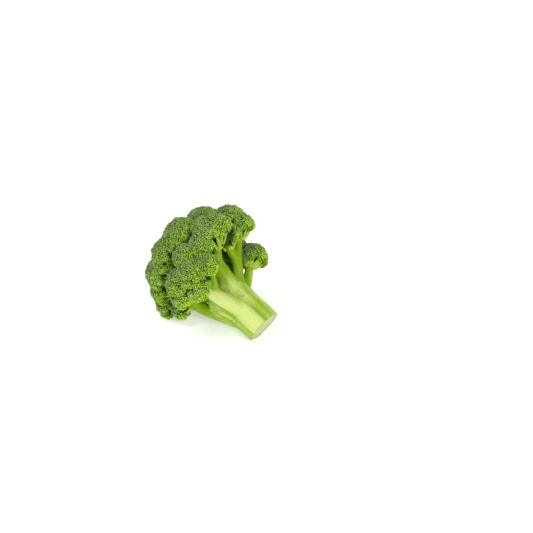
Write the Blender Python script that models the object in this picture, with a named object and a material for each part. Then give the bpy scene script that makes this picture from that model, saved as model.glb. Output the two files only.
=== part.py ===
"""A head of broccoli, lying on its side as it settles on a flat surface.

The stalk, its boughs and their twigs grew as one piece. Each floret, a dome of flower buds, is a piece of its own
that closes round the end of its twig. The head is modelled standing up, with the cut face of the stalk at z = 0 and
the crown above it, and is then laid down on what carries it. Lengths are metres, angles degrees, and +Z is up.
"""

import math
from typing import NamedTuple

import bmesh
import bpy
from mathutils import Matrix, Quaternion, Vector, geometry

GAP = 0.0003  # clearance between pieces that touch

# The ribs of the stalk.
STALK_SIDES = 30
STALK_RIBS = 5
STALK_RIB_DEPTH = 0.0009

# The boughs that leave the stalk, and the twigs that leave the boughs.
BOUGH_START_OFFSET = 0.0080
BOUGH_BEND = 0.35  # the length of a bough's curve handles, as a share of its length
BOUGH_SHARE = 0.72  # how much of the way to its florets a bough goes before it forks
BOUGH_POINT = 0.007  # how far a bough tapers on between its twigs
BOUGH_POINT_RADIUS = 0.0030
BOUGH_STEPS = 7
BOUGH_SIDES = 12
TWIG_START = 0.016  # how far below the fork a twig begins, inside the bough
TWIG_BASE_RADIUS = 0.0056
TWIG_TIP_RADIUS = 0.0042
TWIG_APPROACH = 0.010
TWIG_STEPS = 4
TWIG_SIDES = 10

# The crown of florets.
CROWN_HEIGHT = 0.076
CROWN_REACH = 0.050
FAN_HEIGHT = 0.040  # the florets face away from this point on the stalk's axis
FLORET_RIM = -0.22  # where the dome ends and the underside begins, as a share of the floret's radius
FLORET_BASE = -0.80
FLORET_SEAT = 0.38
FLORET_SEGMENTS = 16
FLORET_RINGS = 10
TWIG_DEPTH = 0.35  # how far below the floret's middle its twig ends, as a share of its radius

# The lobes on each floret.
LOBES = 10
LOBE_HEIGHT = 0.08
LOBE_LEVEL = 0.6  # how much of a lobe's height lies below the floret's radius
LOBE_WIDTH = 27.0
GOLDEN_ANGLE = 137.508

SHARP_ANGLE = 50  # edges sharper than this stay crisp under smooth shading
WELD = 0.00001  # points closer than this are one point

LIES_ON = Vector((-0.615, -0.619, -0.488))  # the side of the upright head that faces the surface


class Ring(NamedTuple):
    """One level of the stalk's stem."""

    height: float
    radius: float
    shift: float  # how far its middle lies to the side, along y


class Bough(NamedTuple):
    """A thick branch that leaves the stalk and forks into the twigs of its florets."""

    height: float  # where it starts inside the stalk
    base_radius: float
    tip_radius: float
    spread: float  # how much it leans outwards as it leaves


class Floret(NamedTuple):
    """One floret: where it sits on the crown, how large it is, and the bough that carries it."""

    name: str
    azimuth: float  # round the stalk, from the front
    tilt: float  # down from the top of the crown
    reach: float  # from the crown's middle, as a share of CROWN_REACH
    radius: float
    bough: str


STEM = (
    Ring(0, 0.0192, 0),
    Ring(0.012, 0.0197, -0.0004),
    Ring(0.030, 0.0199, -0.0014),
    Ring(0.043, 0.0224, -0.0034),
    Ring(0.054, 0.0226, -0.0046),
    Ring(0.067, 0.0135, -0.0040),
)

BOUGHS = {
    "front": Bough(0.024, 0.0118, 0.0086, 0.45),
    "top": Bough(0.030, 0.0112, 0.0084, 0.25),
    "top_right": Bough(0.034, 0.0078, 0.0052, 0.0),
    "right": Bough(0.036, 0.0056, 0.0040, 0.45),
    "left": Bough(0.034, 0.0095, 0.0070, 0.35),
    "low_left": Bough(0.008, 0.0098, 0.0068, 0.45),
    "back_left": Bough(0.012, 0.0102, 0.0072, 0.45),
    "back_high": Bough(0.036, 0.0100, 0.0074, 0.35),
    "back_right": Bough(0.022, 0.0095, 0.0064, 0.45),
}

FLORETS = (
    Floret("floret_top_front", 47, 60, 1.03, 0.0225, "top"),
    Floret("floret_top_brow", 20, 63, 0.92, 0.0160, "top"),
    Floret("floret_top_low", 67, 71, 0.89, 0.0165, "top_right"),
    Floret("floret_top_right", 89, 73, 1.17, 0.0165, "top_right"),
    Floret("floret_top_back", 94, 60, 1.19, 0.0200, "top_right"),
    Floret("floret_top_left", 18, 28, 1.09, 0.0210, "top"),
    Floret("floret_top_middle", 89, 34, 1.11, 0.0215, "back_high"),
    Floret("floret_middle", -5, 55, 0.93, 0.0150, "left"),
    Floret("floret_left_high", -34, 29, 1.06, 0.0195, "left"),
    Floret("floret_left", -66, 44, 1.05, 0.0200, "left"),
    Floret("floret_left_low", -89, 59, 1.06, 0.0170, "low_left"),
    Floret("floret_left_rim", -110, 72, 1.23, 0.0158, "low_left"),
    Floret("floret_left_under", -105, 84, 0.96, 0.0145, "low_left"),
    Floret("floret_left_back", -107, 39, 1.05, 0.0205, "left"),
    Floret("floret_front_high", 5, 88, 0.88, 0.0160, "front"),
    Floret("floret_front", -15, 83, 0.95, 0.0180, "front"),
    Floret("floret_front_left", -35, 77, 0.94, 0.0170, "front"),
    Floret("floret_front_low", -21, 99, 0.94, 0.0145, "front"),
    Floret("floret_front_under", -47, 88, 0.91, 0.0150, "front"),
    Floret("floret_right", 114, 105, 0.94, 0.0165, "right"),
    Floret("floret_crest", -153, 5, 1.01, 0.0235, "back_high"),
    Floret("floret_back_rest", -164, 80, 1.10, 0.0185, "back_left"),
    Floret("floret_back_left", -131, 67, 1.10, 0.0200, "back_left"),
    Floret("floret_back_low", 178, 111, 0.99, 0.0145, "back_left"),
    Floret("floret_back_middle", 179, 57, 1.04, 0.0210, "back_high"),
    Floret("floret_back_high_left", -145, 39, 1.05, 0.0225, "back_high"),
    Floret("floret_back_high_right", 149, 42, 1.05, 0.0220, "back_high"),
    Floret("floret_back_right", 158, 81, 1.07, 0.0185, "back_right"),
    Floret("floret_back_right_rim", 142, 77, 1.03, 0.0180, "back_right"),
)

STALK_GREEN = (0.55, 0.70, 0.16)
FLORET_GREEN = (0.12, 0.23, 0.048)


def clear_scene():
    for obj in list(bpy.data.objects):
        bpy.data.objects.remove(obj)


def principled(name, colour, roughness):
    material = bpy.data.materials.new(name)
    material.use_nodes = True
    shader = material.node_tree.nodes["Principled BSDF"]
    shader.inputs["Base Color"].default_value = (*colour, 1)
    shader.inputs["Roughness"].default_value = roughness
    shader.inputs["Metallic"].default_value = 0
    return material


def add_object(name, bm, material=None):
    """Turns a finished bmesh into an object, with its faces pointing outwards."""
    bmesh.ops.recalc_face_normals(bm, faces=bm.faces)
    mesh = bpy.data.meshes.new(name)
    bm.to_mesh(mesh)
    bm.free()
    obj = bpy.data.objects.new(name, mesh)
    bpy.context.scene.collection.objects.link(obj)
    if material:
        mesh.materials.append(material)
        mesh.shade_smooth()
        mesh.set_sharp_from_angle(angle=math.radians(SHARP_ANGLE))
    return obj


def make_helper(obj):
    """Keeps a body that others are cut or fused with out of the finished model."""
    obj.hide_render = True
    obj.display_type = "WIRE"
    return obj


def direction(azimuth, tilt):
    turn, lean = math.radians(azimuth), math.radians(tilt)
    return Vector((math.sin(lean) * math.cos(turn), math.sin(lean) * math.sin(turn), math.cos(lean)))


def middle_of(floret):
    return Vector((0, 0, CROWN_HEIGHT)) + direction(floret.azimuth, floret.tilt) * floret.reach * CROWN_REACH


def axis_of(floret):
    return (middle_of(floret) - Vector((0, 0, FAN_HEIGHT))).normalized()


def twig_end(floret):
    return middle_of(floret) - axis_of(floret) * floret.radius * TWIG_DEPTH


# The stalk, its boughs and their twigs


def bough_path(name):
    """Points along a bough, from inside the stalk to where it forks. It leaves along the stalk and bends outwards."""
    ends = [twig_end(floret) for floret in FLORETS if floret.bough == name]
    goal = sum(ends, Vector()) / len(ends)
    outwards = Vector((goal.x, goal.y, 0))
    share = min(outwards.length / CROWN_REACH, 1)
    outwards.normalize()
    start = outwards * BOUGH_START_OFFSET * share + Vector((0, 0, BOUGHS[name].height))
    fork = start.lerp(goal, BOUGH_SHARE)
    handle = (fork - start).length * BOUGH_BEND
    leaving = start + (Vector((0, 0, 1)) + outwards * share * BOUGHS[name].spread).normalized() * handle
    arriving = fork - (goal - fork).normalized() * handle
    return geometry.interpolate_bezier(start, leaving, arriving, fork, BOUGH_STEPS)


def heading_of(path):
    """The direction that a path ends in."""
    return (path[-1] - path[-2]).normalized()


def twig_path(floret, bough):
    """Points along a twig, from inside its bough to its end inside the floret."""
    start = bough[-1] - heading_of(bough) * TWIG_START
    end = twig_end(floret)
    arriving = end - axis_of(floret) * TWIG_APPROACH
    return geometry.interpolate_bezier(start, bough[-1], arriving, end, TWIG_STEPS)


def spaced(first, last, count):
    """Evenly spaced sizes from the first to the last."""
    return [first + (last - first) * i / (count - 1) for i in range(count)]


def loft(bm, rings):
    """Joins closed rings of vertices into one body with flat ends."""
    for lower, upper in zip(rings, rings[1:]):
        for i in range(len(lower)):
            j = (i + 1) % len(lower)
            bm.faces.new((lower[i], lower[j], upper[j], upper[i]))
    bm.faces.new(rings[0][::-1])
    bm.faces.new(rings[-1])


def branch_body(name, path, radii, sides, grown):
    """A round branch along a path. Grown, it is the clearance that a floret leaves for it."""
    bm = bmesh.new()
    heading = (path[1] - path[0]).normalized()
    points = [path[0] - heading * grown, *path[1:-1], path[-1] + heading_of(path) * grown]
    turned = heading.to_track_quat("Z", "Y")
    rings = []
    for i, point in enumerate(points):
        onwards = points[min(i + 1, len(points) - 1)] - points[max(i - 1, 0)]
        turned = heading.rotation_difference(onwards) @ turned
        heading = onwards.normalized()
        place = Matrix.Translation(point) @ turned.to_matrix().to_4x4()
        rings.append(bmesh.ops.create_circle(bm, segments=sides, radius=radii[i] + grown, matrix=place)["verts"])
    loft(bm, rings)
    return make_helper(add_object(name, bm))


def branch_bodies(prefix, boughs, twigs, grown=0.0):
    """Every bough and every twig, each as a body of its own. A bough tapers on between its twigs."""
    bodies = {}
    for name, path in boughs.items():
        radii = spaced(BOUGHS[name].base_radius, BOUGHS[name].tip_radius, len(path))
        path, radii = [*path, path[-1] + heading_of(path) * BOUGH_POINT], [*radii, BOUGH_POINT_RADIUS]
        bodies[name] = branch_body(prefix + "bough_" + name, path, radii, BOUGH_SIDES, grown)
    for name, path in twigs.items():
        radii = spaced(TWIG_BASE_RADIUS, TWIG_TIP_RADIUS, len(path))
        bodies[name] = branch_body(prefix + "twig_of_" + name, path, radii, TWIG_SIDES, grown)
    return bodies


def stem():
    """The ribbed stem that the boughs leave."""
    bm = bmesh.new()
    rings = []
    for height, radius, shift in STEM:
        ring = []
        for i in range(STALK_SIDES):
            turn = math.tau * i / STALK_SIDES
            out = radius + STALK_RIB_DEPTH * math.cos(STALK_RIBS * turn)
            ring.append(bm.verts.new((out * math.cos(turn), out * math.sin(turn) + shift, height)))
        rings.append(ring)
    loft(bm, rings)
    return bm


def make_stalk(branches):
    """The stem with all its boughs and twigs, fused into one body."""
    grown_together = bpy.data.collections.new("branches")
    for branch in branches:
        grown_together.objects.link(branch)
    stalk = add_object("stalk", stem(), principled("stalk", STALK_GREEN, 0.45))
    fuse = stalk.modifiers.new("branches", "BOOLEAN")
    fuse.operation = "UNION"
    fuse.solver = "EXACT"
    fuse.operand_type = "COLLECTION"
    fuse.collection = grown_together
    fill_pockets(stalk)
    return stalk


def shells_of(bm):
    """The separate surfaces of a mesh, each as a set of its vertices."""
    left = set(bm.verts)
    while left:
        shell, edge = set(), [left.pop()]
        while edge:
            vert = edge.pop()
            shell.add(vert)
            beside = {spoke.other_vert(vert) for spoke in vert.link_edges} & left
            left -= beside
            edge += beside
        yield shell


def fill_pockets(obj):
    """Applies the union and keeps only its outside, in case the branches closed round a small pocket of air."""
    bm = bmesh.new()
    bm.from_object(obj, bpy.context.evaluated_depsgraph_get())
    outside = max(shells_of(bm), key=len)
    bmesh.ops.delete(bm, geom=[vert for vert in bm.verts if vert not in outside], context="VERTS")
    obj.modifiers.clear()
    bm.to_mesh(obj.data)
    bm.free()


# The florets


def lobe_directions(phase):
    """Evenly spread directions over the dome, which follow the spiral that buds grow in."""
    for i in range(LOBES):
        depth = 1 - (1 - FLORET_RIM) * (i + 0.5) / LOBES
        turn = math.radians(phase + GOLDEN_ANGLE * i)
        across = math.sqrt(1 - depth * depth)
        yield Vector((across * math.cos(turn), across * math.sin(turn), depth))


def floret_shape(point, lobes):
    """Moves a point of a unit sphere onto a floret of radius 1: a lobed dome over a cone that narrows to the seat."""
    if point.z < FLORET_RIM:
        up = (point.z + 1) / (FLORET_RIM + 1)
        across = Vector((point.x, point.y, 0))
        width = FLORET_SEAT + (math.sqrt(1 - FLORET_RIM**2) - FLORET_SEAT) * up
        rise = FLORET_BASE + (FLORET_RIM - FLORET_BASE) * up
        return across.normalized() * (width if across.length > WELD else 0) + Vector((0, 0, rise))
    nearest = min(math.degrees(point.angle(lobe)) for lobe in lobes)
    return point * (1 + LOBE_HEIGHT * (math.exp(-((nearest / LOBE_WIDTH) ** 2)) - LOBE_LEVEL))


def outer_radius(floret):
    return floret.radius * (1 + LOBE_HEIGHT * (1 - LOBE_LEVEL))


def neighbour_planes(floret):
    """The planes that part a floret from those it presses against, each as a point on it and a normal pointing away."""
    here = middle_of(floret)
    for other in FLORETS:
        apart = middle_of(other) - here
        if other is floret or apart.length > outer_radius(floret) + outer_radius(other) + GAP:
            continue
        share = (apart.length_squared + floret.radius**2 - other.radius**2) / (2 * apart.length)
        yield here + apart.normalized() * (share - GAP / 2), apart.normalized()


def make_floret(floret, phase):
    """A floret in its own frame, with its axis along +Z, trimmed where it presses against its neighbours."""
    lobes = list(lobe_directions(phase))
    place = Matrix.Translation(middle_of(floret)) @ axis_of(floret).to_track_quat("Z", "Y").to_matrix().to_4x4()
    bm = bmesh.new()
    bmesh.ops.create_uvsphere(bm, u_segments=FLORET_SEGMENTS, v_segments=FLORET_RINGS, radius=1)
    for vert in bm.verts:
        vert.co = place @ (floret_shape(vert.co.normalized(), lobes) * floret.radius)
    for point, away in neighbour_planes(floret):
        everything = [*bm.verts, *bm.edges, *bm.faces]
        cut = bmesh.ops.bisect_plane(bm, geom=everything, plane_co=point, plane_no=away, clear_outer=True)
        rim = [part for part in cut["geom_cut"] if isinstance(part, bmesh.types.BMEdge)]
        if rim:
            bmesh.ops.contextual_create(bm, geom=rim)
    bm.transform(place.inverted())
    obj = add_object(floret.name, bm, principled(floret.name, FLORET_GREEN, 0.75))
    obj.matrix_world = place
    return obj


def comes_near(floret, path):
    clear = outer_radius(floret) + max(bough.base_radius for bough in BOUGHS.values())
    return any((point - middle_of(floret)).length < clear for point in path)


def make_room(obj, cutters):
    """Cuts the clearance of each branch that a floret closes round or leans on."""
    for cutter in cutters:
        cut = obj.modifiers.new(cutter.name, "BOOLEAN")
        cut.operation = "DIFFERENCE"
        cut.solver = "EXACT"
        cut.object = cutter


# Laying the head down


def world_triangles(objects):
    """Every triangle of the finished pieces, as three points."""
    graph = bpy.context.evaluated_depsgraph_get()
    for obj in objects:
        finished = obj.evaluated_get(graph)
        mesh = finished.to_mesh()
        mesh.calc_loop_triangles()
        for triangle in mesh.loop_triangles:
            yield [finished.matrix_world @ mesh.vertices[i].co for i in triangle.vertices]
        finished.to_mesh_clear()


def centre_of_mass(triangles):
    weights, total = 0, Vector()
    for a, b, c in triangles:
        weight = a.dot(b.cross(c))
        weights += weight
        total += (a + b + c) * (weight / 4)
    return total / weights


def resting_face(triangles):
    """The outward normal of the face of the convex hull that the head settles on, on the side that LIES_ON names."""
    balance = centre_of_mass(triangles)
    bm = bmesh.new()
    for triangle in triangles:
        for point in triangle:
            bm.verts.new(point)
    bmesh.ops.remove_doubles(bm, verts=bm.verts, dist=WELD)
    hull = bmesh.ops.convex_hull(bm, input=bm.verts)["geom"]
    faces = [part for part in hull if isinstance(part, bmesh.types.BMFace)]
    best = None
    for face in faces:
        corners = [vert.co for vert in face.verts]
        normal = geometry.normal(corners)
        if normal.dot(corners[0] - balance) < 0:
            normal = -normal
        foot = balance + normal * normal.dot(corners[0] - balance)
        if geometry.intersect_point_tri(foot, *corners) is None:
            continue
        if best is None or normal.dot(LIES_ON) > best.dot(LIES_ON):
            best = normal.copy()
    bm.free()
    return best


def lay_down(head, pieces):
    """Turns the head onto its resting face with its stalk pointing along +X, and centres it over the origin."""
    bpy.context.view_layer.update()
    down = resting_face(list(world_triangles(pieces)))
    level = down.rotation_difference(Vector((0, 0, -1)))
    stalk_end = level @ Vector((0, 0, -1))
    turn = Quaternion((0, 0, 1), -math.atan2(stalk_end.y, stalk_end.x))
    head.rotation_mode = "QUATERNION"
    head.rotation_quaternion = turn @ level
    bpy.context.view_layer.update()
    points = [point for triangle in world_triangles(pieces) for point in triangle]
    low = Vector([min(point[i] for point in points) for i in range(3)])
    high = Vector([max(point[i] for point in points) for i in range(3)])
    head.location = (-(low.x + high.x) / 2, -(low.y + high.y) / 2, -low.z)


def main():
    clear_scene()
    boughs = {name: bough_path(name) for name in BOUGHS}
    twigs = {floret.name: twig_path(floret, boughs[floret.bough]) for floret in FLORETS}
    branches = branch_bodies("", boughs, twigs)
    clearances = branch_bodies("room_for_", boughs, twigs, GAP)
    paths = {**boughs, **twigs}
    pieces = [make_stalk(branches.values())]
    for number, floret in enumerate(FLORETS):
        obj = make_floret(floret, number * GOLDEN_ANGLE / 2)
        make_room(obj, [clearances[name] for name, path in paths.items() if comes_near(floret, path)])
        pieces.append(obj)
    head = bpy.data.objects.new("head", None)
    bpy.context.scene.collection.objects.link(head)
    for obj in [*pieces, *branches.values(), *clearances.values()]:
        obj.parent = head
    lay_down(head, pieces)


main()
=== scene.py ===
# %% [markdown]
# # A head of broccoli
# A head of broccoli is a thick stalk that forks into boughs and twigs, and every twig ends in a floret: a dome of
# flower buds that have not opened yet. The solid model already says where the stalk goes and how far each floret
# reaches. Here each of those plain solids gets the surface that the real plant has, without leaving its place.

# %% Load the frame
import math

import bpy
import numpy as np
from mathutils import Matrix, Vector
from mathutils.bvhtree import BVHTree


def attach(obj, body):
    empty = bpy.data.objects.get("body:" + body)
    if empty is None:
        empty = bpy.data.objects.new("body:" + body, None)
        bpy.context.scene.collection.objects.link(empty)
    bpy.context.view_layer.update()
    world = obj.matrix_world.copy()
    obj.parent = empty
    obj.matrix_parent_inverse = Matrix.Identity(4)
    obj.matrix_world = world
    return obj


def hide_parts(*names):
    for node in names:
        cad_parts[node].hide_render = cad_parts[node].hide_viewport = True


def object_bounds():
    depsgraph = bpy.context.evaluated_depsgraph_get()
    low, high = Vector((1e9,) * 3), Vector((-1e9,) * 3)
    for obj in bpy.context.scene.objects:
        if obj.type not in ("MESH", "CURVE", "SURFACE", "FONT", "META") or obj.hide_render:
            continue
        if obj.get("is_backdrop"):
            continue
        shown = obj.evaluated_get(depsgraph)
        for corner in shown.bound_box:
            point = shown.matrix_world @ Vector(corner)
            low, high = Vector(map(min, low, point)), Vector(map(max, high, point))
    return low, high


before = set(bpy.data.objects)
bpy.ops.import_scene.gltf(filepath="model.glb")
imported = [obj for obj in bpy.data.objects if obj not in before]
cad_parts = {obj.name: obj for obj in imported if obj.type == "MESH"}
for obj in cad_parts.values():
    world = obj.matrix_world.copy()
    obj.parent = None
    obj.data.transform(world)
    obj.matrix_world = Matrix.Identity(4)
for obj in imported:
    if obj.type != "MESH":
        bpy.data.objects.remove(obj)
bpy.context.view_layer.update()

FLORETS = sorted(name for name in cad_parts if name.startswith("floret_"))

# %% [markdown]
# ## Small helpers
# Blender's operators work on what is selected, so each step starts by selecting one object and nothing else. The
# solids come in as loose triangles. A copy is merged first, because a loose mesh can't be remeshed or smoothed.


# %% Helpers for selecting, copying and applying
def only(obj):
    """Selects one object and makes it the active one."""
    bpy.ops.object.select_all(action="DESELECT")
    obj.select_set(True)
    bpy.context.view_layer.objects.active = obj
    return obj


def copy_of_node(node, name):
    """A copy of a solid's mesh as a new object, with its triangles joined up."""
    obj = bpy.data.objects.new(name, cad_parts[node].data.copy())
    bpy.context.scene.collection.objects.link(obj)
    obj.data.materials.clear()
    only(obj)
    bpy.ops.object.mode_set(mode="EDIT")
    bpy.ops.mesh.select_all(action="SELECT")
    bpy.ops.mesh.remove_doubles(threshold=0.00001)
    bpy.ops.object.mode_set(mode="OBJECT")
    return obj


def apply_modifier(obj, kind, **settings):
    """Adds a modifier, sets it and applies it."""
    only(obj)
    modifier = obj.modifiers.new(kind.lower(), kind)
    for setting, value in settings.items():
        setattr(modifier, setting, value)
    bpy.ops.object.modifier_apply(modifier=modifier.name)
    return obj


def points_of(mesh):
    """A mesh's vertices as an array, one row each."""
    points = np.empty(len(mesh.vertices) * 3, np.float32)
    mesh.vertices.foreach_get("co", points)
    return points.reshape(-1, 3).astype(float)


def set_points(mesh, points):
    mesh.vertices.foreach_set("co", np.ascontiguousarray(points, np.float32).ravel())
    mesh.update()


def store(mesh, name, values):
    """Keeps one number for each vertex, which a material can read by its name."""
    attribute = mesh.attributes.get(name) or mesh.attributes.new(name, "FLOAT", "POINT")
    attribute.data.foreach_set("value", np.ascontiguousarray(values, np.float32))


def unit(vectors):
    return vectors / np.maximum(np.linalg.norm(vectors, axis=-1, keepdims=True), 1e-12)


def smooth_step(values, low, high):
    """0 below low, 1 above high, and an even curve between them."""
    share = np.clip((values - low) / (high - low), 0, 1)
    return share * share * (3 - 2 * share)


# %% [markdown]
# ## Where the stalk points
# The stalk was cut straight across, and that cut is the largest flat face on it. Its middle and its direction give
# the line that the stalk grew along. The boughs fan out from a point on that line, a little way up. Places round the
# stalk are counted in degrees from its uppermost side.

# %% Measure the cut face
FAN_HEIGHT = 0.040
ALIGNED = 0.9999  # the least cosine between two faces that count as one flat face
LEVEL = 0.0002


def cut_face():
    """The middle of the stalk's cut face, and the direction it faces."""
    mesh = copy_of_node("stalk", "measured_stalk")
    faces = mesh.data.polygons
    normals = np.array([face.normal for face in faces])
    areas = np.array([face.area for face in faces])
    centres = np.array([face.center for face in faces])
    largest = max(range(len(faces)), key=lambda i: areas[normals @ normals[i] > ALIGNED].sum())
    level = abs((centres - centres[largest]) @ normals[largest]) < LEVEL
    flat = (normals @ normals[largest] > ALIGNED) & level
    middle = (centres[flat] * areas[flat, None]).sum(0) / areas[flat].sum()
    bpy.data.objects.remove(mesh)
    return middle, normals[largest]


CUT_MIDDLE, CUT_FACING = cut_face()
GROWTH = -CUT_FACING
FAN_POINT = CUT_MIDDLE + GROWTH * FAN_HEIGHT
SIDE = unit(np.cross([0, 0, 1.0], GROWTH))
TOP = np.cross(GROWTH, SIDE)
print("the stalk is cut at", CUT_MIDDLE.round(3), "and grew towards", GROWTH.round(2))


def around(turn):
    """The direction away from the stalk's line, at an angle from its uppermost side."""
    return TOP * math.cos(math.radians(turn)) + SIDE * math.sin(math.radians(turn))


# %% [markdown]
# ## The stalk
# A real stalk has no joints. Its skin runs smoothly from the stem into each bough. The solid's boughs meet the stem in
# sharp corners, so a voxel remesh first turns the whole solid into one even skin. Smoothing then melts those corners
# into fillets. The stem can take much more of it than the thin twigs, which would shrink away, so a second round of
# smoothing is weighted by height. Smoothing also rounds an end off, so the stem is first made a little too long, and
# it is cut back to its length later.

# %% Remesh the stalk and smooth its forks
STALK_VOXEL = 0.0008
TWIG_SMOOTHING = 8
STEM_SMOOTHING = 60
STEM_TOP = 0.060
FORKS_TOP = 0.085
ALLOWANCE = 0.006
AT_CUT = 0.0005

stalk = copy_of_node("stalk", "stalk_skin")
lengthened = points_of(stalk.data)
lengthened[(lengthened - CUT_MIDDLE) @ GROWTH < AT_CUT] -= GROWTH * ALLOWANCE
set_points(stalk.data, lengthened)
apply_modifier(stalk, "REMESH", mode="VOXEL", voxel_size=STALK_VOXEL)
apply_modifier(stalk, "SMOOTH", factor=0.5, iterations=TWIG_SMOOTHING)
heights = (points_of(stalk.data) - CUT_MIDDLE) @ GROWTH
group = stalk.vertex_groups.new(name="stem")
for i, weight in enumerate(1 - smooth_step(heights, STEM_TOP, FORKS_TOP)):
    group.add([i], float(weight), "REPLACE")
apply_modifier(stalk, "SMOOTH", factor=0.5, iterations=STEM_SMOOTHING, vertex_group="stem")
stalk.vertex_groups.clear()
print("the stalk's skin has", len(stalk.data.polygons), "faces")

# %% [markdown]
# ## Ribs, leaf scars and a stub
# The fibres of the stalk raise broad ribs that run up the stem and out along every bough. A fibre keeps its place in
# the bundle while the whole bundle widens with height, so a point's distance from the stalk's line, as a share of the
# bundle's radius at that height, tells which fibre it lies on. Sums of waves over those places give ribs that never
# cross. Trimmed leaves leave shallow oval scars, and the last ones left short stubs below the fork. All of it is in
# the mesh, so it catches the light from any side.


# %% Raise the ribs and press in the scars
STEM_RADIUS = 0.0197
BUNDLE_FORK = 0.036
BUNDLE_SPREAD = 0.85
FORK_SOFTNESS = 0.008
RIB_HEIGHT = 0.00040
RIBS = ((7.0, 1.0), (12.0, 0.8), (19.0, 0.6), (31.0, 0.35), (44.0, 0.25))
SCAR_DEPTH = 0.00055
SCAR_OVAL = 0.55
STUB_HEIGHT = 0.0014
STUB_OVAL = 0.8
# Height up the stalk, turn round it in degrees, and size.
SCARS = ((0.023, 103, 0.0030), (0.036, 20, 0.0024), (0.016, 215, 0.0034), (0.031, 290, 0.0028))
STUBS = ((0.049, -4, 0.0036), (0.047, 165, 0.0040))
# the turn round the stalk where the pale band of painted highlight is centred
HIGHLIGHT_TURN = math.radians(58)
SKIN_SEED = 5


def fibre_places(points):
    """Where each point's fibre lies in the bundle: two numbers, which stay the same along a fibre."""
    from_cut = points - CUT_MIDDLE
    above_fork = (from_cut @ GROWTH - BUNDLE_FORK) / FORK_SOFTNESS
    bundle = STEM_RADIUS + BUNDLE_SPREAD * FORK_SOFTNESS * np.logaddexp(0, above_fork)
    return np.stack([from_cut @ TOP, from_cut @ SIDE], axis=1) / bundle[:, None]


def nearness(points, tree, height, turn, size, oval):
    """How far each point is from a spot on the stalk's skin, as a share of the spot's size."""
    line = CUT_MIDDLE + GROWTH * height
    spot = np.array(tree.ray_cast(Vector(line + around(turn) * 0.05), Vector(-around(turn)))[0])
    along = (points - spot) @ GROWTH
    across = np.linalg.norm(points - spot - along[:, None] * GROWTH, axis=1)
    return np.hypot(across, along / oval) / size


def shape_skin(obj):
    """Raises the ribs and stubs, presses in the scars, and keeps the numbers that the skin's finish reads."""
    mesh = obj.data
    points = points_of(mesh)
    normals = np.array([vert.normal for vert in mesh.vertices])
    tree = BVHTree.FromPolygons([v.co for v in mesh.vertices], [p.vertices[:] for p in mesh.polygons])
    fibres = fibre_places(points)
    ribs = np.zeros(len(points))
    rng = np.random.default_rng(SKIN_SEED)
    for count, share in RIBS:
        ribs += share * RIB_HEIGHT * np.sin(fibres @ unit(rng.normal(size=2)) * count + rng.uniform(0, math.tau))
    scars = np.zeros(len(points))
    raised = ribs.copy()
    for height, turn, size in SCARS:
        share = nearness(points, tree, height, turn, size, SCAR_OVAL)
        low_wall = 0.5 * np.exp(-(((share - 1.3) / 0.3) ** 2))
        raised += SCAR_DEPTH * (low_wall - (1 - smooth_step(share, 0.6, 1.1)))
        scars = np.maximum(scars, 1 - smooth_step(share, 0.75, 1.05))
    for height, turn, size in STUBS:
        share = nearness(points, tree, height, turn, size, STUB_OVAL)
        raised += STUB_HEIGHT * (1 - smooth_step(share, 0.55, 1.15))
        scars = np.maximum(scars, 0.8 * (1 - smooth_step(share, 0.5, 0.7)))
    set_points(mesh, points + normals * raised[:, None])
    store(mesh, "fibre_x", fibres[:, 0])
    store(mesh, "fibre_y", fibres[:, 1])
    store(mesh, "rib", ribs / RIB_HEIGHT)
    store(mesh, "scar", scars)
    store(mesh, "height", (points - CUT_MIDDLE) @ GROWTH)
    # A pale band of painted highlight runs along two opposite sides of the stalk.
    turns = np.arctan2(fibres[:, 1], fibres[:, 0])
    store(mesh, "highlight_band", 0.5 + 0.5 * np.cos(2 * (turns - HIGHLIGHT_TURN)))


shape_skin(stalk)

# %% [markdown]
# The real stalk was cut with a knife, which leaves a flat face and a crisp edge. A bisect does the same here: it
# takes off the length left over, and it fills the cut.

# %% Cut the end of the stalk clean
CUT_TRIM = 0.0001

only(stalk)
bpy.ops.object.mode_set(mode="EDIT")
bpy.ops.mesh.select_mode(type="FACE")
bpy.ops.mesh.select_all(action="SELECT")
bpy.ops.mesh.bisect(
    plane_co=CUT_MIDDLE + GROWTH * CUT_TRIM, plane_no=CUT_FACING, use_fill=True, clear_outer=True, threshold=0.000001
)
bpy.ops.object.mode_set(mode="OBJECT")
stalk.data.shade_smooth()
stalk.data.set_sharp_from_angle(angle=math.radians(50))

# %% [markdown]
# ## One bud
# Up close a floret is made of closed flower buds, about 2 mm across, rounder at the base and slightly pointed at the
# tip. There are thousands, so one is modelled with few faces, and it is copied.

# %% Model the bud
BUD_RADIUS = 0.00090
BUD_LENGTH = 1.25  # as a share of its width

bpy.ops.mesh.primitive_uv_sphere_add(segments=6, ring_count=4, radius=BUD_RADIUS)
bud = bpy.context.object
bud.name = "bud"
bpy.ops.object.mode_set(mode="EDIT")
bpy.ops.mesh.select_all(action="SELECT")
bpy.ops.transform.resize(value=(1, 1, BUD_LENGTH))
bpy.ops.mesh.quads_convert_to_tris()
bpy.ops.object.mode_set(mode="OBJECT")
BUD_POINTS = points_of(bud.data)
BUD_FACES = np.array([face.vertices[:] for face in bud.data.polygons])
BUD_RISE = (BUD_POINTS[:, 2] / BUD_POINTS[:, 2].max() + 1) / 2
bpy.data.objects.remove(bud)
print("a bud has", len(BUD_FACES), "faces")


# %% [markdown]
# ## Copying a shape to many places
# A thousand copies made one by one would take minutes. Here every copy is the same small table of points, turned,
# sized and moved, so that the whole floret becomes one mesh in a single step.


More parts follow.
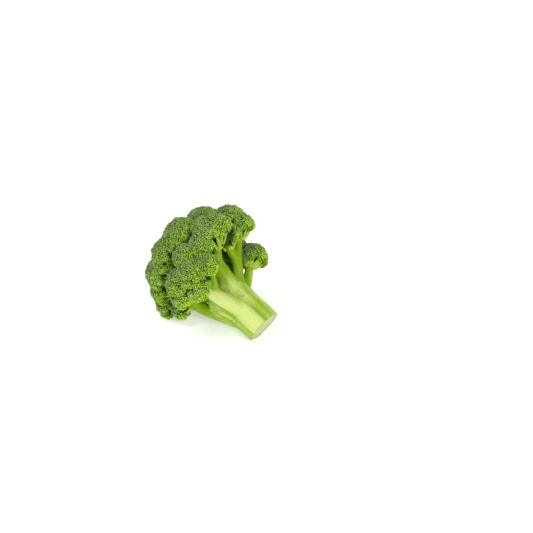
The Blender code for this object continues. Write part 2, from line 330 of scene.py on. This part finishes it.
# %% Helpers that build meshes from copies
def mesh_object(name, points, faces):
    """An object made of triangles."""
    mesh = bpy.data.meshes.new(name)
    mesh.vertices.add(len(points))
    mesh.loops.add(faces.size)
    mesh.polygons.add(len(faces))
    mesh.loops.foreach_set("vertex_index", faces.ravel())
    mesh.polygons.foreach_set("loop_start", np.arange(len(faces)) * 3)
    set_points(mesh, points)
    mesh.update(calc_edges=True)
    mesh.shade_smooth()
    obj = bpy.data.objects.new(name, mesh)
    bpy.context.scene.collection.objects.link(obj)
    return obj


def turned_to(directions, spins):
    """For each direction, a matrix that turns +Z to face it and then spins about it."""
    helper = np.where(abs(directions[:, 2:]) < 0.9, [[0.0, 0.0, 1.0]], [[1.0, 0.0, 0.0]])
    side = unit(np.cross(helper, directions))
    other = np.cross(directions, side)
    cos, sin = np.cos(spins)[:, None], np.sin(spins)[:, None]
    return np.stack([side * cos + other * sin, other * cos - side * sin, directions], axis=2)


def copies(points, faces, places, directions, spins, sizes):
    """Points and faces of many copies of one shape."""
    turns = turned_to(directions, spins) * sizes[:, None, None]
    moved = np.einsum("nij,vj->nvi", turns, points) + places[:, None]
    numbered = faces[None] + (np.arange(len(places)) * len(points))[:, None, None]
    return moved.reshape(-1, 3), numbered.reshape(-1, 3)


def tube(path, radii, sides):
    """Points and faces of a round tapering stem along a path, with closed ends."""
    headings = unit(np.gradient(path, axis=0))
    turns = turned_to(headings, np.zeros(len(path)))
    angles = np.arange(sides) * math.tau / sides
    ring = np.stack([np.cos(angles), np.sin(angles), 0 * angles], axis=1)
    points = (np.einsum("nij,vj->nvi", turns, ring) * radii[:, None, None] + path[:, None]).reshape(-1, 3)
    faces = []
    for level in range(len(path) - 1):
        for i in range(sides):
            a, b = level * sides + i, level * sides + (i + 1) % sides
            faces += [(a, b, b + sides), (a, b + sides, a + sides)]
    last = len(points)
    top = (len(path) - 1) * sides
    for i in range(sides):
        j = (i + 1) % sides
        faces += [(last, j, i), (last + 1, top + i, top + j)]
    return np.vstack([points, path[:1], path[-1:]]), np.array(faces)


# %% [markdown]
# ## A floret
# A floret's dome is not one smooth ball of buds. It is built of tufts, small tight posies about 8 mm across, each on
# a fine stem of its own, and the tufts sit in the spirals that most plants grow in. So the tufts are placed first,
# each turned a golden angle on from the one before, wherever a ray from the middle of the floret meets the solid.
# They reach a little below the dome's rim, where they droop, and a little way down the walls where two florets press
# against each other, so that the seam between them closes. Every tuft is then covered with buds in a spiral of the
# same kind. Tufts at the rim show their undersides, so their buds go further round.

# %% Sizes of tufts and buds
TUFT_SPACING = 0.0064
TUFT_RADIUS = 0.0037
TUFT_DEPTH = 0.0031
TUFT_SIZES = (0.84, 1.20)
TUFT_SCATTER = 0.045
BUD_SPACING = 0.00174
BUD_SIZES = (0.80, 1.15)
BUD_HEIGHTS = (0.93, 1.07)
BUD_SCATTER = 0.06
PACKING = 0.866  # in an even spread, each spot takes up this share of its spacing squared
CROWDED = 0.88  # buds nearer than this to another tuft's heart, as a share of its radius, would be inside it
YOUNGER = 0.15  # how much smaller the buds down a tuft's side are
DOME_END = math.radians(124)
RIM = 0.25  # tufts lower than this share of the radius above the floret's middle belong to its rim
WALL_DEPTH = 0.80
SHADED_RIM = -0.02  # on the side that faces back down the stalk, no tuft grows lower than this
SHADED = -0.30  # a tuft is on that side if it faces against the growth by more than this
SPREAD = math.radians(84)
RIM_SPREAD = math.radians(112)
GOLDEN = math.radians(137.508)
SEAT_DEPTH = 0.80
SEAT_FLAT = 0.0005
RAY_START = 1.5  # rays start this many radii out, and run inwards
LOWEST_BUD = 0.0010  # the weight of the head presses its lowest buds level with the table


def spiral(count, spread):
    """Evenly spread directions round +Z, out to an angle from it."""
    steps = np.arange(count) + 0.5
    depth = 1 - (1 - math.cos(spread)) * steps / count
    across = np.sqrt(1 - depth * depth)
    return np.stack([across * np.cos(GOLDEN * steps), across * np.sin(GOLDEN * steps), depth], axis=1)


def measured_floret(node):
    """A floret's seat, axis and radius, worked out from its solid: it faces away from the fan point."""
    points = points_of(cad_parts[node].data)
    axis = unit(points.mean(0) - FAN_POINT)
    for _ in range(3):
        along = points @ axis
        seat = points[along < along.min() + SEAT_FLAT].mean(0)
        axis = unit(seat - FAN_POINT)
    radius = (along.max() - along.min()) / (1 + SEAT_DEPTH)
    return seat, axis, radius


def tuft_places(node, middle, axis, radius, rng):
    """Where the tufts of a floret grow: points on the solid, and the directions that they face."""
    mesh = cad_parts[node].data
    tree = BVHTree.FromPolygons([v.co for v in mesh.vertices], [p.vertices[:] for p in mesh.polygons])
    count = int(math.tau * radius**2 * (1 - math.cos(DOME_END)) / (PACKING * TUFT_SPACING**2))
    rays = spiral(count, DOME_END) @ turned_to(axis[None], rng.uniform(0, math.tau, 1))[0].T
    rays = unit(rays + rng.normal(scale=TUFT_SCATTER, size=rays.shape))
    places, facings = [], []
    for ray in rays:
        if ray @ axis < SHADED_RIM and ray @ GROWTH < SHADED:
            continue
        hit, _, _, distance = tree.ray_cast(Vector(middle + ray * radius * RAY_START), Vector(-ray))
        if hit is not None and radius * RAY_START - distance > radius * WALL_DEPTH:
            places.append(np.array(hit))
            facings.append(ray)
    return np.array(places), np.array(facings)


def buds_on(places, facings, axis, rng):
    """Where the buds of each tuft go, which way they face, how far down the tuft's side they are, and their tuft."""
    sizes = rng.uniform(*TUFT_SIZES, len(places))
    hearts = places - facings * TUFT_DEPTH * sizes[:, None]
    spots, directions, depths, owners = [], [], [], []
    for i, (heart, facing, size) in enumerate(zip(hearts, facings, sizes)):
        spread = RIM_SPREAD if facing @ axis < RIM else SPREAD
        count = int(math.tau * (TUFT_RADIUS * size) ** 2 * (1 - math.cos(spread)) / (PACKING * BUD_SPACING**2))
        local = spiral(count, spread)
        outwards = local @ turned_to(facing[None], rng.uniform(0, math.tau, 1))[0].T
        outwards = unit(outwards + rng.normal(scale=BUD_SCATTER, size=local.shape))
        spot = heart + outwards * TUFT_RADIUS * size * rng.uniform(*BUD_HEIGHTS, (count, 1))
        near = np.linalg.norm(hearts - heart, axis=1) < 3 * TUFT_RADIUS
        near[i] = False
        away = np.linalg.norm(spot[:, None] - hearts[near][None], axis=2) / sizes[near]
        free = (away > TUFT_RADIUS * CROWDED).all(1)
        spots.append(spot[free])
        directions.append(outwards[free])
        depths.append(1 - local[free, 2])
        owners.append(np.full(free.sum(), i))
    return np.vstack(spots), np.vstack(directions), np.concatenate(depths), np.concatenate(owners), hearts


# %% [markdown]
# Between the buds, the inside of a floret is in shade. A plain ball, drawn in below the buds and cut off flat under the
# dome, keeps the light out, and its near-black colour is painted shade. Below it the fine stems show, fanning out like
# the ribs of an umbrella from the end of the twig to the tufts along the rim.

# %% Helpers that make the parts of a floret
CORE_SIZE = 0.96
CORE_INSET = 0.0030
CORE_FLOOR = 0.08
STEM_FOOT = 0.10
STEM_REACH = 0.28  # stems run to the tufts that face less than this along the floret's axis
STEM_STEPS = 6
STEM_SIDES = 6
STEM_RADII = (0.0019, 0.0011)
STEM_THICKNESS = (0.8, 1.2)
STEM_BEND_UP = 0.18
STEM_BEND_OUT = 0.42
STEM_RING = 0.002


def floret_core(name, middle, axis, radius):
    """The ball inside a floret, below its buds, which carries the painted shade."""
    size = radius * CORE_SIZE - CORE_INSET
    bpy.ops.mesh.primitive_uv_sphere_add(segments=24, ring_count=14, radius=size, location=middle)
    core = bpy.context.object
    core.name = name
    bpy.ops.object.transform_apply(location=True, rotation=False, scale=False)
    bpy.ops.object.mode_set(mode="EDIT")
    bpy.ops.mesh.select_all(action="SELECT")
    bpy.ops.mesh.bisect(
        plane_co=middle - axis * radius * CORE_FLOOR, plane_no=axis, use_fill=True, clear_inner=True, threshold=0.000001
    )
    bpy.ops.object.mode_set(mode="OBJECT")
    core.data.shade_smooth()
    return core


def fine_stems(name, hearts, facings, seat, axis, radius, rng):
    """The fine stems that fan out from the end of the twig to the tufts along the rim."""
    points, faces, alongs, total = [], [], [], 0
    t = np.linspace(0, 1, STEM_STEPS)[:, None]
    for heart, facing in zip(hearts, facings):
        if facing @ axis > STEM_REACH:
            continue
        across = heart - seat
        across = unit(across - (across @ axis) * axis)
        foot = seat + axis * radius * STEM_FOOT * rng.uniform(0, 2) + across * STEM_RING
        bend = foot + axis * radius * STEM_BEND_UP + across * radius * STEM_BEND_OUT
        path = (1 - t) ** 2 * foot + 2 * t * (1 - t) * bend + t * t * heart
        radii = np.linspace(*STEM_RADII, STEM_STEPS) * rng.uniform(*STEM_THICKNESS)
        stem_points, stem_faces = tube(path, radii, STEM_SIDES)
        points.append(stem_points)
        faces.append(stem_faces + total)
        alongs.append(np.concatenate([np.repeat(t[:, 0], STEM_SIDES), [0, 1]]))
        total += len(stem_points)
    stems = mesh_object(name, np.vstack(points), np.vstack(faces))
    store(stems.data, "along", np.concatenate(alongs))
    return stems


# %% [markdown]
# Each bud carries five numbers for its colour. Two are chance, its own and its tuft's. One says how far up the bud a
# point lies: tips are made lighter and bases darker, as a painted highlight and painted shade between the buds. One
# says how far down the tuft's side the bud sits: those buds are younger and smaller, and they are made darker as
# painted shade in the clefts between tufts. The last says how much sun it had: buds that face the way the head grew are
# blue-green, and those turned back towards the stalk are yellow-green.


# %% Make a whole floret
FIRST_SEED = 100
SUN_ON_BUD = 0.65  # how much of a bud's sun is its own, and not its tuft's


def make_floret(node, number):
    """The buds, the core and the fine stems of one floret, joined and put in the place of its solid."""
    rng = np.random.default_rng(FIRST_SEED + number)
    seat, axis, radius = measured_floret(node)
    middle = seat + axis * SEAT_DEPTH * radius
    places, facings = tuft_places(node, middle, axis, radius, rng)
    spots, directions, depths, owners, hearts = buds_on(places, facings, axis, rng)
    spots[:, 2] = np.maximum(spots[:, 2], LOWEST_BUD)
    sizes = rng.uniform(*BUD_SIZES, len(spots)) * (1 - YOUNGER * np.minimum(depths, 1))
    points, faces = copies(BUD_POINTS, BUD_FACES, spots, directions, rng.uniform(0, math.tau, len(spots)), sizes)
    buds = mesh_object(node.replace("floret_", "buds_"), points, faces)
    each = len(BUD_POINTS)
    store(buds.data, "rise", np.tile(BUD_RISE, len(spots)))
    store(buds.data, "chance", np.repeat(rng.uniform(0, 1, len(spots)), each))
    store(buds.data, "tuft_chance", np.repeat(rng.uniform(0, 1, len(places))[owners], each))
    store(buds.data, "depth", np.repeat(np.minimum(depths, 1), each))
    sun = SUN_ON_BUD * (directions @ GROWTH) + (1 - SUN_ON_BUD) * (facings[owners] @ GROWTH)
    store(buds.data, "sun", np.repeat(sun, each))
    buds.data.materials.append(BUD)
    core = floret_core("core_of_" + node, middle, axis, radius)
    # The core takes the near-black painted shade.
    core.data.materials.append(SHADE_CORE)
    stems = fine_stems("stems_of_" + node, hearts, facings, seat, axis, radius, rng)
    stems.data.materials.append(STEM)
    only(buds)
    core.select_set(True)
    stems.select_set(True)
    bpy.ops.object.join()
    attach(buds, "root")
    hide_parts(node)
    return len(places), len(spots), len(buds.data.polygons)


# %% [markdown]
# ## Finishes
# Every colour is worked out from the numbers kept on the meshes, or from the place in space, so no picture is laid
# on. Some of those colours are painted light and shade, and the finishes below say which. A few helpers keep each
# finish short.


# %% Helpers for materials
def new_material(name, roughness, shine=0.5):
    """A material with its node tree and its shader."""
    made = bpy.data.materials.new(name)
    made.use_nodes = True
    shader = made.node_tree.nodes["Principled BSDF"]
    shader.inputs["Roughness"].default_value = roughness
    shader.inputs["Specular IOR Level"].default_value = shine
    return made, made.node_tree, shader


def add(tree, kind, inputs, **settings):
    """A node with its settings, and a value or a link for each input."""
    made = tree.nodes.new("ShaderNode" + kind)
    for name, value in settings.items():
        setattr(made, name, value)
    for name, value in inputs.items():
        if isinstance(value, bpy.types.NodeSocket):
            tree.links.new(value, made.inputs[name])
        else:
            made.inputs[name].default_value = value
    return made


def kept(tree, name):
    """A number kept on the mesh."""
    return add(tree, "Attribute", {}, attribute_name=name).outputs["Fac"]


def sum_of(tree, first, share, second):
    """first * share + second."""
    return add(tree, "Math", {0: first, 1: share, 2: second}, operation="MULTIPLY_ADD").outputs[0]


def product(tree, first, second):
    return add(tree, "Math", {0: first, 1: second}, operation="MULTIPLY").outputs[0]


def ramp(tree, value, low, high, to_low=0.0, to_high=1.0):
    """Maps low to high onto another range, with a smooth start and end."""
    inputs = {"Value": value, "From Min": low, "From Max": high, "To Min": to_low, "To Max": to_high}
    return add(tree, "MapRange", inputs, interpolation_type="SMOOTHSTEP").outputs["Result"]


def blend(tree, share, first, second):
    """A colour between two colours."""
    colours = [(*colour, 1) if isinstance(colour, tuple) else colour for colour in (first, second)]
    return add(tree, "Mix", {0: share, 6: colours[0], 7: colours[1]}, data_type="RGBA").outputs[2]


def shade(tree, colour, brightness):
    """A colour made brighter or darker."""
    return add(tree, "VectorMath", {0: colour, "Scale": brightness}, operation="SCALE").outputs[0]


# %% The buds
BUD, tree, shader = new_material("buds", 0.62, 0.14)
sun = ramp(tree, sum_of(tree, kept(tree, "tuft_chance"), 0.30, kept(tree, "sun")), -0.60, 0.85)
# Each bud is lighter at its tip and darker at its base: a painted highlight on the tips and painted shade between the
# buds.
tip = blend(tree, sun, (0.43, 0.69, 0.045), (0.25, 0.39, 0.115))
base = blend(tree, sun, (0.19, 0.36, 0.012), (0.085, 0.160, 0.032))
bud_colour = blend(tree, ramp(tree, kept(tree, "rise"), 0.30, 1.0), base, tip)
brightness = sum_of(tree, kept(tree, "chance"), 0.46, 0.69)
# Buds down a tuft's side are made darker, down to 55 %: painted shade in the clefts between the tufts.
brightness = product(tree, brightness, ramp(tree, kept(tree, "depth"), 0.1, 1.0, 1.0, 0.55))
brightness = product(tree, brightness, sum_of(tree, kept(tree, "tuft_chance"), 0.30, 0.85))
tree.links.new(shade(tree, bud_colour, brightness), shader.inputs["Base Color"])

# %% The painted shade inside a floret, and its fine stems
SHADE_CORE, tree, shader = new_material("core", 0.85, 0.1)
place = add(tree, "TexCoord", {}).outputs["Object"]
mottle = add(tree, "TexNoise", {"Vector": place, "Scale": 420.0, "Detail": 2.0}).outputs["Fac"]
# A near-black green: painted shade where no light reaches between the buds.
tree.links.new(blend(tree, mottle, (0.012, 0.028, 0.004), (0.050, 0.090, 0.012)), shader.inputs["Base Color"])

STEM, tree, shader = new_material("fine_stem", 0.5, 0.2)
stem_colour = blend(tree, ramp(tree, kept(tree, "along"), 0.0, 1.0), (0.46, 0.62, 0.070), (0.27, 0.45, 0.025))
place = add(tree, "TexCoord", {}).outputs["Object"]
mottle = add(tree, "TexNoise", {"Vector": place, "Scale": 300.0, "Detail": 2.0}).outputs["Fac"]
tree.links.new(shade(tree, stem_colour, sum_of(tree, mottle, 0.5, 0.75)), shader.inputs["Base Color"])

# %% [markdown]
# The skin of the stalk is pale low down and a deeper yellow-green towards the florets. Along two opposite sides it is
# made paler still, which is a painted highlight, and its ribs are made a little paler and the hollows between them
# deeper, which is painted light and shade. Its streaks come from a noise read along the fibres: the fibre's place
# changes across a bough but hardly along it, so the noise is drawn out into long lines.

# %% The skin of the stalk
SKIN, tree, shader = new_material("skin", 0.36, 0.16)
height = kept(tree, "height")
drift = product(tree, height, 5.0)
fibre = {0: kept(tree, "fibre_x"), 1: kept(tree, "fibre_y"), 2: drift}
fibre = add(tree, "CombineXYZ", fibre).outputs[0]
broad = add(tree, "TexNoise", {"Vector": fibre, "Scale": 3.0, "Detail": 1.0}).outputs["Fac"]
fine = add(tree, "TexNoise", {"Vector": fibre, "Scale": 12.0, "Detail": 2.0}).outputs["Fac"]
# Ribs are made a little paler and the hollows between them a deeper green: painted light and shade.
pale = sum_of(tree, broad, 1.5, sum_of(tree, fine, 1.0, sum_of(tree, kept(tree, "rib"), 0.16, -1.18)))
# The stalk is made paler along two opposite sides: a painted highlight.
pale = sum_of(tree, kept(tree, "highlight_band"), 0.80, pale)
pale = add(tree, "Math", {0: pale, 1: ramp(tree, height, 0.045, 0.078, 0.0, 0.75)}, operation="SUBTRACT").outputs[0]
skin = blend(tree, ramp(tree, pale, 0.0, 1.0), (0.220, 0.375, 0.002), (0.54, 0.645, 0.185))
place = add(tree, "TexCoord", {}).outputs["Object"]
specks = add(tree, "TexNoise", {"Vector": place, "Scale": 640.0, "Detail": 1.0}).outputs["Fac"]
skin = blend(tree, ramp(tree, specks, 0.68, 0.76, 0.0, 0.45), skin, (0.80, 0.86, 0.50))
skin = blend(tree, ramp(tree, specks, 0.32, 0.25, 0.0, 0.35), skin, (0.20, 0.30, 0.015))
skin = blend(tree, product(tree, kept(tree, "scar"), 0.65), skin, (0.30, 0.38, 0.06))
tree.links.new(skin, shader.inputs["Base Color"])
tree.links.new(ramp(tree, fine, 0.3, 0.7, 0.30, 0.46), shader.inputs["Roughness"])
relief = add(tree, "Bump", {"Height": sum_of(tree, specks, 0.4, fine), "Strength": 0.25, "Distance": 0.0004})
tree.links.new(relief.outputs["Normal"], shader.inputs["Normal"])

# %% [markdown]
# The cut shows the inside of the stalk: moist, whitish pith, a greener ring of fibres around it, and a thin green rind.

# %% The cut face
PITH, tree, shader = new_material("pith", 0.42, 0.3)
place = add(tree, "TexCoord", {}).outputs["Object"]
from_middle = add(tree, "VectorMath", {0: place, 1: tuple(CUT_MIDDLE)}, operation="SUBTRACT").outputs[0]
mottle = add(tree, "TexNoise", {"Vector": place, "Scale": 260.0, "Detail": 3.0}).outputs["Fac"]
distance = add(tree, "VectorMath", {0: from_middle}, operation="LENGTH").outputs["Value"]
distance = sum_of(tree, mottle, 0.0022, distance)
pith = blend(tree, mottle, (0.38, 0.45, 0.17), (0.52, 0.57, 0.28))
fibres = add(tree, "TexVoronoi", {"Vector": place, "Scale": 620.0}).outputs["Distance"]
ring = product(tree, ramp(tree, distance, 0.0125, 0.0150), ramp(tree, fibres, 0.55, 0.25, 0.35, 1.0))
pith = blend(tree, ring, pith, (0.27, 0.40, 0.08))
pith = blend(tree, ramp(tree, distance, 0.0180, 0.0200), pith, (0.20, 0.36, 0.015))
tree.links.new(pith, shader.inputs["Base Color"])
relief = add(tree, "Bump", {"Height": mottle, "Strength": 0.3, "Distance": 0.0003})
tree.links.new(relief.outputs["Normal"], shader.inputs["Normal"])

# %% [markdown]
# ## Put the pieces in place
# The stalk gets its skin everywhere except on the cut. Then every floret is made, and each piece takes the place of
# its solid.

# %% Finish the stalk and make the florets
stalk.data.materials.clear()
stalk.data.materials.append(SKIN)
stalk.data.materials.append(PITH)
for face in stalk.data.polygons:
    on_cut = Vector(CUT_FACING).dot(face.normal) > 0.999
    face.material_index = int(on_cut and (face.center - Vector(CUT_MIDDLE)).dot(Vector(GROWTH)) < CUT_TRIM * 1.5)
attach(stalk, "root")
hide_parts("stalk")

totals = np.sum([make_floret(node, number) for number, node in enumerate(FLORETS)], axis=0)
print(totals[0], "tufts,", totals[1], "buds,", totals[2], "faces on the florets")

# %% [markdown]
# ## Floor, light and camera
# The head lies on a plain white table that glows a little, which keeps the table white and its shadow faint. The
# light is a pale sky, one broad lamp high on the left, and a weaker one in front that reaches in under the crown.

# %% Floor and light
bpy.ops.mesh.primitive_plane_add(size=8, location=(0, 0, -0.0002))
floor = bpy.context.object
floor.name = "floor"
white, tree, shader = new_material("table", 0.8)
shader.inputs["Base Color"].default_value = (0.88, 0.88, 0.88, 1)
shader.inputs["Emission Color"].default_value = (1, 1, 1, 1)
shader.inputs["Emission Strength"].default_value = 0.42
floor.data.materials.append(white)
floor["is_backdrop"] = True

world = bpy.data.worlds.new("studio")
bpy.context.scene.world = world
world.use_nodes = True
world.node_tree.nodes["Background"].inputs["Color"].default_value = (1, 1, 1, 1)
world.node_tree.nodes["Background"].inputs["Strength"].default_value = 0.55
bpy.context.scene.view_settings.view_transform = "Standard"

# %% Camera and lamps
CAMERA_AZIMUTH = math.radians(36.8)
CAMERA_ELEVATION = math.radians(30)
FRAME_WIDTH = 0.565
LENS = 100
SENSOR = 36
ASIDE = 0.0534
ABOVE = 0.0012
low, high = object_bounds()
centre = (low + high) / 2
back = Vector((
    math.sin(CAMERA_AZIMUTH) * math.cos(CAMERA_ELEVATION),
    -math.cos(CAMERA_AZIMUTH) * math.cos(CAMERA_ELEVATION),
    math.sin(CAMERA_ELEVATION),
))
right = Vector((math.cos(CAMERA_AZIMUTH), math.sin(CAMERA_AZIMUTH), 0))
up = back.cross(right)
target = centre + right * ASIDE + up * ABOVE


def area_light(name, place, size, power):
    """A round lamp that faces the head."""
    bpy.ops.object.light_add(type="AREA", location=place)
    light = bpy.context.object
    light.name = name
    light.data.shape = "DISK"
    light.data.size = size
    light.data.energy = power
    light.rotation_mode = "QUATERNION"
    light.rotation_quaternion = (place - centre).to_track_quat("Z", "Y")


area_light("key", centre + back * 0.8 - right * 0.6 + up * 0.85, 0.6, 7.5)
area_light("fill", centre + back * 1.1 + right * 0.30 + up * 0.02, 0.4, 5)

bpy.ops.object.camera_add(location=target + back * (FRAME_WIDTH * LENS / SENSOR))
camera = bpy.context.object
camera.rotation_mode = "QUATERNION"
camera.rotation_quaternion = back.to_track_quat("Z", "Y")
camera.data.lens = LENS
camera.data.clip_start, camera.data.clip_end = 0.05, 20
bpy.context.scene.camera = camera
